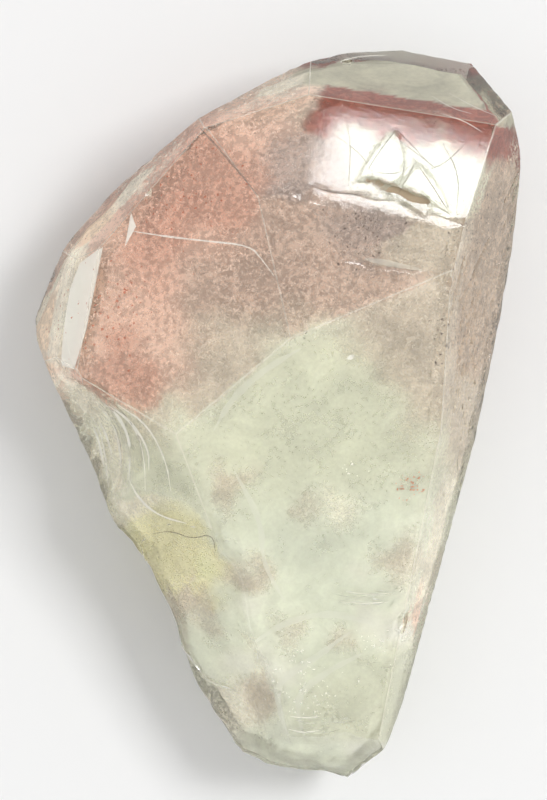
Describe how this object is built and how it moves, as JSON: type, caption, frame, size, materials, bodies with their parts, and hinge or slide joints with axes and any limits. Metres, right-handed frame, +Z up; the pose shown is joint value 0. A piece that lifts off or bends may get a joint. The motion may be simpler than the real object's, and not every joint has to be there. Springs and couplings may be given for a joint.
{
  "type": "quartz crystal",
  "caption": "Natural quartz crystal point lying on its flattest side, with raised record keeper triangles on its end face, a shell-like scoop and a rough broken end.",
  "frame": {"origin": "under the middle of the crystal, on the surface it lies on", "axes": "+Z up from the resting face, +Y from the broken end towards the point, +X to the right seen from above"},
  "size_m": [0.056, 0.0846, 0.031],
  "materials": {
    "quartz": "natural growth faces, glassy, with milky veils and reddish inclusions inside; rough where broken"
  },
  "bodies": {
    "root": {"quartz_crystal": "quartz"}
  },
  "joints": []
}
